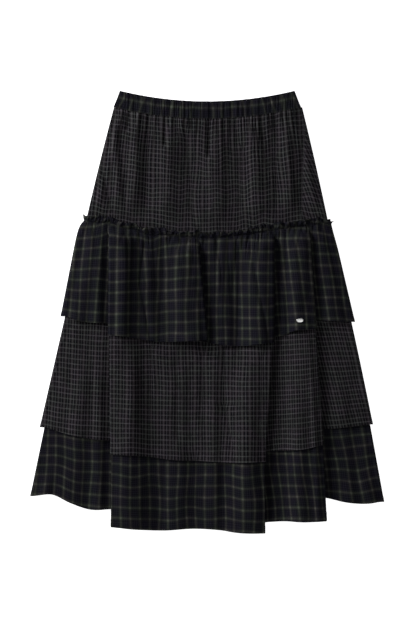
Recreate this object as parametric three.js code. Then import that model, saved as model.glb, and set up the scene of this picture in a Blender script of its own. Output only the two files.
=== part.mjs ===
import * as THREE from 'three';

// A long tiered skirt with an elastic waist, laid flat with its front up.
// Millimetres: X runs across, Y runs up to the waist, Z rises from the surface it lies on.
// The origin is on that surface, under the middle of the skirt's outline.

// Cloth
const cloth = 1.0; // wall of every tier
const bandWall = 2.4; // waistband: two cloths and the elastic between them
const bandInset = 1.2; // the back of the waistband stays this far behind the front's edges
const seamGap = 0.3; // between two pieces that are sewn together
const layerStep = 1.8; // from the middle of one cloth to the middle of the next one on it

// Heights above the surface, to the middle of a wall
const frontAtWaist = 3.6;
const frontLevel = 5.8; // middle tier; the ruffle lies one step above, the bottom tier one below
const backLow = cloth / 2; // a back panel on the surface
const backHigh = backLow + layerStep; // a back panel that has another one under it
const sideEnd = 1.3; // lower edge of a front panel's turned side
const sideTurn = 6; // how wide the front turns down at the sides
const backInset = { low: 1.8, high: 3.6 }; // from the outline to the edge of a back panel

// Waist, hips and hems, as heights on the Y axis
const waistTop = { middle: 382.7, side: 402 };
const waistSeam = { middle: 351.2, side: 372 };
const hipSeam = { middle: 133.5, side: 165.5, halfWidth: 225, power: 1.35 };
const waistHalf = { top: 158.8, seam: 170.5 };
const bottomSeam = -170; // the bottom tier is sewn on behind the middle tier
const middleBackHem = -198;
const ruffleBackHem = -5;
const bottomBackHem = -328;
const backSettles = 24; // length in which a back panel comes down to the surface

// Deep folds, where one part of the front lies on its neighbour.
// onTop is 1 where the cloth on the right lies on top and -1 where that on the left does.
// The other columns say where the edge that shows lies at the hips and at the three hems.
const foldLevels = { atHips: 150, atRuffleHem: -40, atMiddleHem: -270, atHem: -400 };
const deepFolds = [
  { name: 'left', onTop: 1, atHips: -176, atRuffleHem: -178, atMiddleHem: -175, atHem: -177 },
  { name: 'ruffle', onTop: -1, atHips: -19, atRuffleHem: -1, atMiddleHem: -1, atHem: -1 },
  { name: 'centre', onTop: -1, atHips: 120, atRuffleHem: 120, atMiddleHem: 106, atHem: 107 },
  { name: 'right', onTop: -1, atHips: 184, atRuffleHem: 197, atMiddleHem: 213, atHem: 220 },
];
const foldRadius = 3.2; // both turns of a deep fold, middle tier
const foldTurnAtSeam = 4; // length of cloth in each turn where the fold starts
const foldOpens = 38; // a fold is fully turned this far below the hip seam
const foldDepth = { atSeam: 2, perLength: 0.06 }; // how far the cloth runs back under itself
const foldCover = 6; // the upper cloth stays up this far past the hidden turn
const foldSettles = 50; // width in which it then comes down
const gathersHeld = 0.65; // share of the gathers' height that a fold takes away at the seam
const turnColumns = 4;
const returnColumns = 2;
const sideColumns = 3;

// Panels of each tier from left to right: columns of the wall and the height of the hem at
// evenly spaced places across the panel
const rufflePanels = [
  { columns: 10, hem: [-8, -17.5, -20, -21] },
  { columns: 26, hem: [-41.7, -48, -54.3, -54, -51.2] },
  { columns: 25, hem: [-53.3, -60, -61.7, -55.8] },
  { columns: 12, hem: [-47, -43.5, -33.5, -31.3] },
  { columns: 8, hem: [-14.8, -16.5, -18.1] },
];
const middlePanels = [
  { columns: 10, hem: [-209.7, -223, -232, -233.3] },
  { columns: 28, hem: [-258.6, -262, -269, -271, -274.3, -271.8] },
  { columns: 12, hem: [-259.7, -253, -251.5, -249, -241.5] },
  { columns: 8, hem: [-212.5, -212.5, -209, -204.6] },
];
const bottomPanels = [
  { columns: 10, hem: [-335, -332, -347, -359, -359, -357] },
  { columns: 28, hem: [-391, -395, -397.5, -394.5, -395.5, -401, -402] },
  { columns: 12, hem: [-388, -382.5, -380.5, -381.5, -380] },
  { columns: 8, hem: [-336, -338.5, -346, -349, -345.5] },
];

// Half widths of the outline at the top and at the hem of each tier's sides, and how far the
// side bows out between them
const outlines = {
  upper: {
    top: 371, hem: 166, left: { top: 170, hem: 220.5, bow: 1 }, right: { top: 173, hem: 219.5, bow: 1 },
  },
  ruffle: {
    top: 166, hem: -14, left: { top: 224, hem: 259, bow: 0, puff: 9 },
    right: { top: 226, hem: 268, bow: 0, puff: 0 },
  },
  middle: {
    top: 166, hem: -207, left: { top: 219, hem: 304, bow: 0 }, right: { top: 220, hem: 302, bow: 2 },
  },
  bottom: {
    top: bottomSeam, hem: -340, left: { top: 288, hem: 323, bow: 0 }, right: { top: 290, hem: 321, bow: 0 },
  },
};
const puffLength = 9; // the ruffle swells out this soon below its seam
const outlineRun = 1.2; // an outline goes on straight to this share of its length

// Soft ridges that run down a tier: place across at its top and its hem, half width at the
// hem and height at the hem
const upperRidges = [
  { top: -186, hem: -204, width: 16, height: 2.4 },
  { top: -172, hem: -157, width: 14, height: 3 },
  { top: -128, hem: -134, width: 21, height: 3.2 },
  { top: -68, hem: -72, width: 34, height: 3.6 },
  { top: 14, hem: 16, width: 38, height: 3.6 },
  { top: 88, hem: 92, width: 28, height: 3.4 },
  { top: 146, hem: 150, width: 18, height: 3.2 },
  { top: 180, hem: 200, width: 18, height: 2.4 },
];
const ruffleRidges = [
  { top: -206, hem: -232, width: 22, height: 4 },
  { top: -192, hem: -204, width: 18, height: 5 },
  { top: -150, hem: -156, width: 18, height: 5.5 },
  { top: -108, hem: -104, width: 22, height: 4.5 },
  { top: -50, hem: -42, width: 34, height: 5.5 },
  { top: 24, hem: 32, width: 24, height: 5 },
  { top: 80, hem: 90, width: 30, height: 5.5 },
  { top: 160, hem: 163, width: 18, height: 5 },
  { top: 206, hem: 232, width: 22, height: 4 },
];
const drapeRidges = [
  { top: -222, hem: -250, width: 32, height: 4 },
  { top: -197, hem: -200, width: 17, height: 4 },
  { top: -138, hem: -142, width: 30, height: 3.5 },
  { top: -60, hem: -58, width: 38, height: 3.5 },
  { top: 8, hem: 12, width: 22, height: 3 },
  { top: 66, hem: 76, width: 30, height: 4.5 },
  { top: 160, hem: 168, width: 24, height: 3.5 },
  { top: 232, hem: 262, width: 24, height: 4 },
];
const hemRidges = [
  { top: -280, hem: -299, width: 16, height: 5 },
  { top: 262, hem: 304, width: 14, height: 4 },
];
const ridgeFade = 12; // ridges level out this far from a deep fold or the outline
const drapeStarts = -62;
const drapeGrows = 90;
const hemRidgesStart = -262;

// Gathers at the seams: how many across, how high, and how far down they run
const bandGathers = { count: 30, height: 1.5, columnsEach: 3 };
const upperGathers = { count: 30, height: 2.6, length: 62, columnsEach: 3 };
const ruffleGathers = { height: 2.6, length: 26, columnsEach: 3 };
const heading = { height: 12, wave: 1.2 };

// Rows of each wall: distances below the seam, then shares of what is left down to the hem
const upperRows = { drops: [0], shares: [0.07, 0.18, 0.34, 0.55, 0.78, 1] };
const ruffleRows = { drops: [-heading.height, -5.5, 0, 10, 24, 40], shares: [0.4, 0.72, 1] };
const middleRows = { drops: [0, 10, 24, 40], shares: [0.27, 0.45, 0.7, 1] };
const bottomRows = { drops: [0], shares: [0.22, 0.44, 0.72, 1] };
const bandRows = 3;
const backColumns = 14;

// Small oval plate near the ruffle's hem
const plate = { x: 168, y: -15.7, length: 12, height: 7, thickness: 1, corners: 28, gap: 0.5 };

// Colours and surface of the cloths and the plate
const largeCheck = { color: 0x1e1e21, roughness: 0.92, metalness: 0 };
const smallCheck = { color: 0x2b2a2d, roughness: 0.92, metalness: 0 };
const polishedMetal = { color: 0xd8d8d6, roughness: 0.3, metalness: 0.9 };

const clamp = (value, low, high) => Math.min(high, Math.max(low, value));
const mix = (a, b, share) => a + (b - a) * share;

function smooth(value) {
  const t = clamp(value, 0, 1);
  return t * t * (3 - 2 * t);
}

// Smooth curve through evenly spaced heights
function through(heights, share) {
  const last = heights.length - 1;
  const place = clamp(share, 0, 1) * last;
  const k = Math.min(last - 1, Math.floor(place));
  const t = place - k;
  const [a, b, c, d] = [k - 1, k, k + 1, k + 2].map((i) => heights[clamp(i, 0, last)]);
  return b + 0.5 * t * (c - a + t * (2 * a - 5 * b + 4 * c - d + t * (3 * (b - c) + d - a)));
}

// Repeats a rule that depends on its own result until it holds
function settle(rule, start) {
  let value = start;
  for (let i = 0; i < 4; i += 1) value = rule(value);
  return value;
}

const dip = (edge, x, halfWidth) => mix(edge.middle, edge.side, Math.min(1, (x / halfWidth) ** 2));
const hipSeamAt = (x) => mix(
  hipSeam.middle,
  hipSeam.side,
  Math.min(1, Math.abs(x) / hipSeam.halfWidth) ** hipSeam.power,
);
const waistSeamAt = (x) => dip(waistSeam, x, waistHalf.seam);

// Half width of a tier's outline at height y, on the left (-1) or the right (1)
function halfWidth(outline, side, y) {
  const edge = side < 0 ? outline.left : outline.right;
  const share = clamp((outline.top - y) / (outline.top - outline.hem), 0, outlineRun);
  const puff = (edge.puff ?? 0) * (1 - Math.exp(Math.min(0, y - outline.top) / puffLength));
  return mix(edge.top, edge.hem, share) + edge.bow * 4 * share * (1 - share) + puff;
}

// Where the visible edge of a deep fold lies at height y
function foldEdge(fold, y) {
  const names = Object.keys(foldLevels);
  for (let i = 1; i < names.length; i += 1) {
    const [above, below] = [names[i - 1], names[i]];
    if (y >= foldLevels[below] || i === names.length - 1) {
      const share = (foldLevels[above] - y) / (foldLevels[above] - foldLevels[below]);
      return mix(fold[above], fold[below], Math.max(0, share));
    }
  }
  return fold.atHem;
}

// One step of a curve whose direction turns evenly from one angle to another
function bendStep(length, from, to) {
  const turned = to - from;
  if (Math.abs(turned) < 1e-6) return [length * Math.cos(from), length * Math.sin(from)];
  return [
    (length * (Math.sin(to) - Math.sin(from))) / turned,
    (length * (Math.cos(from) - Math.cos(to))) / turned,
  ];
}

// The steps of a deep fold at height y: two turns with the cloth running back between them
function foldShape(fold, y) {
  const edge = foldEdge(fold, y);
  const drop = hipSeamAt(edge) - y;
  const bend = Math.PI * smooth(drop / foldOpens);
  const turn = mix(foldTurnAtSeam, Math.PI * foldRadius, bend / Math.PI);
  const back = foldDepth.atSeam + foldDepth.perLength * Math.max(0, drop - foldOpens);
  const steps = [
    { length: turn, from: 0, to: fold.onTop * bend, columns: turnColumns },
    { length: back, from: fold.onTop * bend, to: fold.onTop * bend, columns: returnColumns },
    { length: turn, from: fold.onTop * bend, to: 0, columns: turnColumns },
  ];
  const moves = steps.map((step) => bendStep(step.length, step.from, step.to));
  const width = moves.reduce((sum, move) => sum + move[0], 0);
  const rise = Math.abs(moves.reduce((sum, move) => sum + move[1], 0));
  const overhang = bend < 1e-6 ? turn : (turn / bend) * Math.sin(Math.min(bend, Math.PI / 2));
  const start = fold.onTop > 0 ? edge + overhang - width : edge - overhang;
  const shut = bend / Math.PI;
  return { edge, steps, moves, rise, start, end: start + width, shut, cover: shut * (back + foldCover) };
}

// How high the upper cloth still lies at a distance from the fold that it covers
const liftedBy = (fold, distance) => fold.rise * (1 - smooth((distance - fold.cover) / foldSettles));

function ridges(table, x, share, window) {
  let height = 0;
  for (const ridge of table) {
    const across = (x - mix(ridge.top, ridge.hem, share)) / (ridge.width * mix(0.8, 1, share));
    if (Math.abs(across) < 1) height += ridge.height * (0.5 + 0.5 * Math.cos(Math.PI * across));
  }
  return height * window;
}

// Height of the gathers at a column: each is a narrow ridge with a strength and length of its own
function gathered(gathers, column, drop) {
  const k = Math.floor(column / gathers.columnsEach);
  const crest = 0.5 - 0.5 * Math.cos((2 * Math.PI * column) / gathers.columnsEach);
  const strength = 0.72 + 0.28 * Math.sin(2.4 * k);
  const reach = gathers.length * (0.8 + 0.4 * Math.sin(4.1 * k + 1));
  return gathers.height * crest * strength * Math.exp(-Math.abs(drop) / reach);
}

const drapeAt = (x, y, window) => ridges(
  drapeRidges,
  x,
  clamp((drapeStarts - y) / 330, 0, 1),
  window * smooth((drapeStarts - y) / drapeGrows),
);

// The tiers of the front: how each lies on the others, its seam, its hem and its relief
const tiers = {
  ruffle: {
    layer: 1,
    outline: outlines.ruffle,
    panels: rufflePanels,
    folds: deepFolds,
    rows: ruffleRows,
    seam: hipSeamAt,
    lowerEdge: 0.2,
    relief(place, x, y, drop) {
      const share = clamp(drop / 190, 0, 1);
      const narrow = gathered(ruffleGathers, place.column, drop) * (1 - place.shut);
      const broad = ridges(ruffleRidges, x, share, place.window * smooth(drop / 90));
      return narrow + broad + (drop < 0 ? -heading.wave * (drop / heading.height) : 0);
    },
  },
  middle: {
    layer: 0,
    outline: outlines.middle,
    panels: middlePanels,
    folds: deepFolds.filter((fold) => fold.name !== 'ruffle'),
    rows: middleRows,
    seam: hipSeamAt,
    lowerEdge: sideEnd,
    relief: (place, x, y) => drapeAt(x, y, place.window),
  },
  bottom: {
    layer: -1.15,
    outline: outlines.bottom,
    panels: bottomPanels,
    folds: deepFolds.filter((fold) => fold.name !== 'ruffle'),
    rows: bottomRows,
    seam: () => bottomSeam,
    lowerEdge: sideEnd,
    relief(place, x, y) {
      const share = clamp((hemRidgesStart - y) / 90, 0, 1);
      return drapeAt(x, y, place.window) + ridges(hemRidges, x, share, place.window * smooth(share));
    },
  },
};

// The row of a tier at height y, as pieces that each give a point for a share of their length
function rowAt(tier, y) {
  const folds = tier.folds.map((fold) => ({ onTop: fold.onTop, ...foldShape(fold, y) }));
  const reach = sideTurn + tier.layer * layerStep;
  const left = -halfWidth(tier.outline, -1, y) + cloth / 2 + reach;
  const right = halfWidth(tier.outline, 1, y) - cloth / 2 - reach;
  const top = frontLevel + tier.layer * layerStep;
  const side = (sign, from) => (share) => {
    const angle = (sign < 0 ? 1 - share : share) * (Math.PI / 2);
    const z = tier.lowerEdge + (top - tier.lowerEdge) * Math.cos(angle);
    return { x: from + sign * reach * Math.sin(angle), z, shut: 0, window: 0, flat: true };
  };
  const pieces = [{ columns: sideColumns, point: side(-1, left) }];
  tier.panels.forEach((panel, i) => {
    const [before, after] = [folds[i - 1], folds[i]];
    const [from, to] = [before ? before.end : left, after ? after.start : right];
    const low = before ? before.edge : from;
    const high = after ? after.edge : to;
    pieces.push({
      columns: panel.columns,
      panel: i,
      point(share) {
        const x = mix(from, to, share);
        let z = frontLevel;
        if (before && before.onTop > 0) z += liftedBy(before, x - from);
        if (after && after.onTop < 0) z += liftedBy(after, to - x);
        const window = smooth((x - low) / ridgeFade - 0.3) * smooth((high - x) / ridgeFade - 0.3);
        return { x, z, shut: 0, window };
      },
    });
    if (!after) return;
    let [x0, z0] = [after.start, frontLevel + (after.onTop < 0 ? after.rise : 0)];
    after.steps.forEach((step, k) => {
      const [x1, z1] = [x0, z0];
      pieces.push({
        columns: step.columns,
        between: i,
        point(share) {
          const [dx, dz] = bendStep(step.length * share, step.from, mix(step.from, step.to, share));
          return { x: x1 + dx, z: z1 + dz, shut: mix(gathersHeld, 1, after.shut), window: 0 };
        },
      });
      x0 += after.moves[k][0];
      z0 += after.moves[k][1];
    });
  });
  pieces.push({ columns: sideColumns, point: side(1, right) });
  return pieces;
}

// Finds the piece that a column of the wall lies in
function locate(pieces, column) {
  let first = 0;
  for (const piece of pieces) {
    if (column <= first + piece.columns || piece === pieces.at(-1)) {
      return { piece, share: clamp((column - first) / piece.columns, 0, 1) };
    }
    first += piece.columns;
  }
  throw new Error('A column lies outside the row');
}

// Height of a tier's hem at a column, from the panels' tables
function hemAt(tier, column) {
  const pieces = rowAt(tier, tier.outline.hem);
  const { piece, share } = locate(pieces, column);
  if (piece.panel !== undefined) return through(tier.panels[piece.panel].hem, share);
  if (piece.between === undefined) {
    return column < sideColumns ? tier.panels[0].hem[0] : tier.panels.at(-1).hem.at(-1);
  }
  const index = pieces.indexOf(piece);
  const first = pieces.findIndex((other) => other.between === piece.between);
  const before = pieces.slice(first, index).reduce((sum, other) => sum + other.columns, 0);
  const along = (before + share * piece.columns) / (2 * turnColumns + returnColumns);
  return mix(tier.panels[piece.between].hem.at(-1), tier.panels[piece.between + 1].hem[0], smooth(along));
}

// Height on the Y axis of a row of the wall, which may lie between two rows
function rowHeight(rows, row, seam, hem) {
  const last = rows.drops.at(-1);
  const heightOf = (i) => (i < rows.drops.length
    ? seam - rows.drops[i]
    : mix(seam - last, hem, rows.shares[i - rows.drops.length]));
  const count = rows.drops.length + rows.shares.length - 1;
  const k = clamp(Math.floor(row), 0, count - 1);
  return mix(heightOf(k), heightOf(k + 1), row - k);
}

// A front tier's surface, for a column and row that may lie between two of the wall's own
function frontSurface(tier) {
  const pointAt = (column, y) => {
    const { piece, share } = locate(rowAt(tier, y), column);
    return { ...piece.point(share), column, piece, share };
  };
  return (column, row) => {
    const seam = settle((y) => tier.seam(pointAt(column, y).x), tier.outline.top);
    const y = rowHeight(tier.rows, row, seam, hemAt(tier, column));
    const place = pointAt(column, y);
    if (place.flat) return new THREE.Vector3(place.x, y, place.z);
    const step = 0.01;
    const before = place.piece.point(Math.max(0, place.share - step));
    const after = place.piece.point(Math.min(1, place.share + step));
    const along = new THREE.Vector2(after.x - before.x, after.z - before.z).normalize();
    const rise = tier.layer * layerStep + tier.relief(place, place.x, y, seam - y);
    return new THREE.Vector3(place.x - along.y * rise, y, place.z + along.x * rise);
  };
}

const countColumns = (tier) => rowAt(tier, tier.outline.hem).reduce((sum, piece) => sum + piece.columns, 0);
const countRows = (rows) => rows.drops.length + rows.shares.length - 1;

// A closed wall of even thickness about a surface given for every column and row
function wall(surface, columns, rows, thickness) {
  const positions = [];
  const step = 0.02;
  for (let row = 0; row <= rows; row += 1) {
    for (let column = 0; column <= columns; column += 1) {
      const middle = surface(column, row);
      const across = surface(Math.min(columns, column + step), row)
        .sub(surface(Math.max(0, column - step), row));
      const down = surface(column, Math.min(rows, row + step))
        .sub(surface(column, Math.max(0, row - step)));
      const out = down.cross(across).normalize().multiplyScalar(thickness / 2);
      positions.push(...middle.clone().add(out).toArray(), ...middle.clone().sub(out).toArray());
    }
  }
  const outer = (row, column) => 2 * (row * (columns + 1) + column);
  const inner = (row, column) => outer(row, column) + 1;
  const faces = [];
  for (let r = 0; r < rows; r += 1) {
    for (let c = 0; c < columns; c += 1) {
      faces.push(outer(r, c), outer(r + 1, c), outer(r + 1, c + 1));
      faces.push(outer(r, c), outer(r + 1, c + 1), outer(r, c + 1));
      faces.push(inner(r, c), inner(r + 1, c + 1), inner(r + 1, c));
      faces.push(inner(r, c), inner(r, c + 1), inner(r + 1, c + 1));
    }
  }
  const rim = (a, b) => {
    faces.push(outer(...b), outer(...a), inner(...a), outer(...b), inner(...a), inner(...b));
  };
  for (let c = 0; c < columns; c += 1) {
    rim([0, c + 1], [0, c]);
    rim([rows, c], [rows, c + 1]);
  }
  for (let r = 0; r < rows; r += 1) {
    rim([r, 0], [r + 1, 0]);
    rim([r + 1, columns], [r, columns]);
  }
  const geometry = new THREE.BufferGeometry();
  geometry.setAttribute('position', new THREE.Float32BufferAttribute(positions, 3));
  geometry.setIndex(faces);
  geometry.computeVertexNormals();
  return geometry;
}

function piece(name, geometry, finish) {
  const mesh = new THREE.Mesh(geometry, new THREE.MeshStandardMaterial({ ...finish, side: THREE.FrontSide }));
  mesh.name = name;
  return mesh;
}

function frontTier(name, tier, finish) {
  const geometry = wall(frontSurface(tier), countColumns(tier), countRows(tier.rows), cloth);
  return piece(name, geometry, finish);
}

// The gathered band at the waist; its front is puckered by the elastic
function waistband(name, isFront) {
  const { count, height, columnsEach } = bandGathers;
  const columns = isFront ? count * columnsEach : backColumns;
  const rows = isFront ? bandRows : 1;
  const level = isFront ? bandWall * 1.5 + seamGap : bandWall / 2;
  const inset = isFront ? 0 : bandInset;
  const surface = (column, row) => {
    const share = row / rows;
    const half = mix(waistHalf.top, waistHalf.seam, share) - inset;
    const x = mix(-half, half, column / columns);
    const y = mix(dip(waistTop, x, waistHalf.top) - inset, waistSeamAt(x) + seamGap, share);
    const pucker = isFront ? 0.5 - 0.5 * Math.cos((2 * Math.PI * column) / columnsEach) : 0;
    const edgeFade = smooth(column / columnsEach) * smooth((columns - column) / columnsEach);
    const strength = 0.7 + 0.3 * Math.sin(2.1 * Math.floor(column / columnsEach));
    return new THREE.Vector3(x, y, level + height * pucker * strength * edgeFade);
  };
  return piece(name, wall(surface, columns, rows, bandWall), largeCheck);
}

// The yoke between waist and hips, gathered along the waistband
function upperFront() {
  const columns = upperGathers.count * upperGathers.columnsEach;
  const reach = sideTurn;
  const flat = columns - 2 * sideColumns;
  const placeAt = (column, y) => {
    const left = halfWidth(outlines.upper, -1, y) - cloth / 2 - reach;
    const right = halfWidth(outlines.upper, 1, y) - cloth / 2 - reach;
    const turned = Math.max(0, sideColumns - column, column - columns + sideColumns);
    const angle = (turned / sideColumns) * (Math.PI / 2);
    const x = mix(-left, right, clamp((column - sideColumns) / flat, 0, 1));
    const window = smooth((x + left) / ridgeFade) * smooth((right - x) / ridgeFade);
    return { x: x + Math.sign(x) * reach * Math.sin(angle), angle, window };
  };
  const surface = (column, row) => {
    const waist = settle((y) => waistSeamAt(placeAt(column, y).x), outlines.upper.top);
    const hips = settle((y) => hipSeamAt(placeAt(column, y).x) + seamGap, outlines.upper.hem);
    const y = rowHeight(upperRows, row, waist, hips);
    const { x, angle, window } = placeAt(column, y);
    const share = (waist - y) / (waist - hips);
    const nearHips = smooth((y - hips - heading.height) / 45);
    const relief = gathered(upperGathers, column, waist - y) + ridges(upperRidges, x, share, smooth(share * 4));
    const level = mix(frontAtWaist, frontLevel, smooth(share)) + relief * window * nearHips;
    return new THREE.Vector3(x, y, sideEnd + (level - sideEnd) * Math.cos(angle));
  };
  return piece('upper_front', wall(surface, columns, countRows(upperRows), cloth), smallCheck);
}

// A plain back panel; stations give its rows as a height for each x and a level above the surface
function backPanel(name, outline, stations, finish) {
  const surface = (column, row) => {
    const k = clamp(Math.floor(row), 0, stations.length - 2);
    const across = mix(-1, 1, column / backColumns);
    const at = (station) => {
      const guess = across * (outline.left.top + outline.left.hem) * 0.5;
      const y = station.height(guess);
      const inset = station.level > backLow ? backInset.high : backInset.low;
      const x = across * (halfWidth(outline, Math.sign(across) || 1, y) - inset);
      return new THREE.Vector3(x, station.height(x), station.level);
    };
    return at(stations[k]).lerp(at(stations[k + 1]), row - k);
  };
  return piece(name, wall(surface, backColumns, stations.length - 1, cloth), finish);
}

// The oval plate, seated on the cloth of the ruffle's fourth panel
function ovalPlate() {
  const surface = frontSurface(tiers.ruffle);
  const rows = countRows(tiers.ruffle.rows);
  const lastTwo = rufflePanels.slice(-2).map((panel) => panel.columns);
  const end = countColumns(tiers.ruffle) - sideColumns - lastTwo[1] - 2 * turnColumns - returnColumns;
  let best = { distance: Infinity };
  for (let column = end - lastTwo[0]; column <= end; column += 0.1) {
    for (let row = rows - 2; row <= rows; row += 0.05) {
      const point = surface(column, row);
      const distance = Math.hypot(point.x - plate.x, point.y - plate.y);
      if (distance < best.distance) best = { distance, point, column, row };
    }
  }
  const across = surface(best.column + 0.5, best.row).sub(surface(best.column - 0.5, best.row));
  const down = surface(best.column, best.row + 0.2).sub(surface(best.column, best.row - 0.2));
  const out = down.cross(across).normalize();
  const outline = new THREE.Shape();
  outline.absellipse(0, 0, plate.length / 2, plate.height / 2, 0, 2 * Math.PI);
  const geometry = new THREE.ExtrudeGeometry(outline, {
    depth: plate.thickness, curveSegments: plate.corners, bevelEnabled: false,
  });
  const mesh = piece('label_plate', geometry, polishedMetal);
  mesh.quaternion.setFromUnitVectors(new THREE.Vector3(0, 0, 1), out);
  mesh.position.copy(best.point).addScaledVector(out, cloth / 2 + plate.gap);
  return mesh;
}

const skirt = new THREE.Group();
skirt.add(waistband('waistband_front', true));
skirt.add(waistband('waistband_back', false));
skirt.add(upperFront());
skirt.add(frontTier('ruffle_front', tiers.ruffle, largeCheck));
skirt.add(frontTier('middle_front', tiers.middle, smallCheck));
skirt.add(frontTier('bottom_front', tiers.bottom, largeCheck));
skirt.add(ovalPlate());
skirt.add(backPanel('upper_back', outlines.upper, [
  { height: (x) => waistSeamAt(x) - 1, level: backLow },
  { height: (x) => hipSeamAt(x) + heading.height + backSettles + 6, level: backLow },
  { height: (x) => hipSeamAt(x) + heading.height + 4, level: backHigh },
  { height: (x) => hipSeamAt(x) + seamGap, level: backHigh },
], smallCheck));
skirt.add(backPanel('ruffle_back', outlines.ruffle, [
  { height: (x) => hipSeamAt(x) + heading.height, level: backLow },
  { height: hipSeamAt, level: backLow },
  { height: (x) => hipSeamAt(x) - 12, level: backLow },
  { height: (x) => hipSeamAt(x) - 30, level: backLow },
  { height: () => ruffleBackHem, level: backLow },
], largeCheck));
skirt.add(backPanel('middle_back', outlines.middle, [
  { height: hipSeamAt, level: backHigh },
  { height: () => ruffleBackHem - 6, level: backHigh },
  { height: () => ruffleBackHem - 6 - backSettles, level: backLow },
  { height: () => middleBackHem, level: backLow },
], smallCheck));
skirt.add(backPanel('bottom_back', outlines.bottom, [
  { height: () => bottomSeam, level: backHigh },
  { height: () => middleBackHem - 6, level: backHigh },
  { height: () => middleBackHem - 6 - backSettles, level: backLow },
  { height: () => bottomBackHem, level: backLow },
], largeCheck));

export default skirt;
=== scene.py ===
import math
import bpy
import numpy as np
from mathutils import Matrix, Vector


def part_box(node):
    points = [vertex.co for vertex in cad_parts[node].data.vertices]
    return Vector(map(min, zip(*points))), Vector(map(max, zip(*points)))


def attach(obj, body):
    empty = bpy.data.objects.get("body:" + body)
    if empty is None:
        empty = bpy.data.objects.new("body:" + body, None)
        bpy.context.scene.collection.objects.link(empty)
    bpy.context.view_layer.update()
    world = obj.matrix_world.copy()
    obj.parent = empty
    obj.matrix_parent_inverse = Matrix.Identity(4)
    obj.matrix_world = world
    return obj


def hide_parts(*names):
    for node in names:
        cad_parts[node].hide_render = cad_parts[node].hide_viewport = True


# A tiered skirt laid flat, front up. Sizes in the tables are millimetres.
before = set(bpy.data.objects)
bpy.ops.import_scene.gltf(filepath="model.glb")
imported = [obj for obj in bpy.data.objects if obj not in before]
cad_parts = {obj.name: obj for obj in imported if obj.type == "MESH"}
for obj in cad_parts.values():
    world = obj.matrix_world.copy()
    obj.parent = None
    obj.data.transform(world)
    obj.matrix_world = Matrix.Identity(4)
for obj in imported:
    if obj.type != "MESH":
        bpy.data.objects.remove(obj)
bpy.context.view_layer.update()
mm = 0.001
tiny = 1e-9
leastBend = 1e-6  # an angle below this counts as straight
print("frame loaded,", len(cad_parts), "nodes")

# how the layers of cloth lie on each other
lay = {
    "wall": 0.9, "bandWall": 2.2, "layerStep": 1.8, "frontAtWaist": 3.6, "frontLevel": 5.8,
    "backLow": 0.5, "backHigh": 2.3, "sideEnd": 1.3, "sideTurn": 6.0, "sideCloth": 8.0,
    "ridgeFade": 12.0, "ridgeDelay": 0.3, "outlineRun": 1.2, "puffLength": 9.0, "seamRounds": 4,
    "columnSteps": 4, "rowSteps": 1.0,
}

# seams and the deep folds that the tiers share
seams = {
    "waistTop": (382.7, 402.0, 158.8), "waistSeam": (351.2, 372.0, 170.5),
    "hipMiddle": 133.5, "hipSide": 165.5, "hipHalf": 225.0, "hipPower": 1.35,
    "bottomSeam": -170.0, "middleBackHem": -198.0, "ruffleBackHem": -5.0, "bottomBackHem": -328.0,
}
foldLevels = [150.0, -40.0, -270.0, -400.0]
deepFolds = [
    {"name": "left", "onTop": 1, "edges": [-176, -178, -175, -177]},
    {"name": "ruffle", "onTop": -1, "edges": [-19, -1, -1, -1]},
    {"name": "centre", "onTop": -1, "edges": [120, 120, 106, 107]},
    {"name": "right", "onTop": -1, "edges": [184, 197, 213, 220]},
]
foldCut = {
    "radius": 3.2, "turnAtSeam": 4.0, "opens": 38.0, "depthAtSeam": 2.0, "depthPerLength": 0.06,
    "cover": 6.0, "settles": 50.0, "gathersHeld": 0.65,
    "turnColumns": 4, "returnColumns": 2, "sideColumns": 3,
}


def mixed(a, b, share):
    return a + (b - a) * share


def smooth(value):
    t = np.clip(value, 0.0, 1.0)
    return t * t * (3 - 2 * t)


def through(heights, share):  # smooth curve through evenly spaced heights
    h = np.asarray(heights, float)
    last = len(h) - 1
    place = np.clip(share, 0, 1) * last
    k = np.minimum(last - 1, np.floor(place)).astype(int)
    t = place - k
    a, b, c, d = (h[np.clip(k + i, 0, last)] for i in (-1, 0, 1, 2))
    return b + 0.5 * t * (c - a + t * (2 * a - 5 * b + 4 * c - d + t * (3 * (b - c) + d - a)))


def dipped(seam, x):
    middle, side, half = seam
    return mixed(middle, side, np.minimum(1, (x / half) ** 2))


def hipSeamAt(x):
    return mixed(seams["hipMiddle"], seams["hipSide"],
                 np.minimum(1, np.abs(x) / seams["hipHalf"]) ** seams["hipPower"])


def waistSeamAt(x):
    return dipped(seams["waistSeam"], x)


def halfWidth(outline, side, y):
    top, hem, bow, puff = outline["left" if side < 0 else "right"]
    share = np.clip((outline["top"] - y) / (outline["top"] - outline["hem"]), 0, lay["outlineRun"])
    swell = puff * (1 - np.exp(np.minimum(0, y - outline["top"]) / lay["puffLength"]))
    return mixed(top, hem, share) + bow * 4 * share * (1 - share) + swell


def bendStep(length, start, end):  # a curve whose direction turns evenly
    turned = end - start
    straight = np.abs(turned) < leastBend
    safe = np.where(straight, 1.0, turned)
    dx = np.where(straight, length * np.cos(start), length * (np.sin(end) - np.sin(start)) / safe)
    dz = np.where(straight, length * np.sin(start), length * (np.cos(start) - np.cos(end)) / safe)
    return dx, dz


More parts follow.
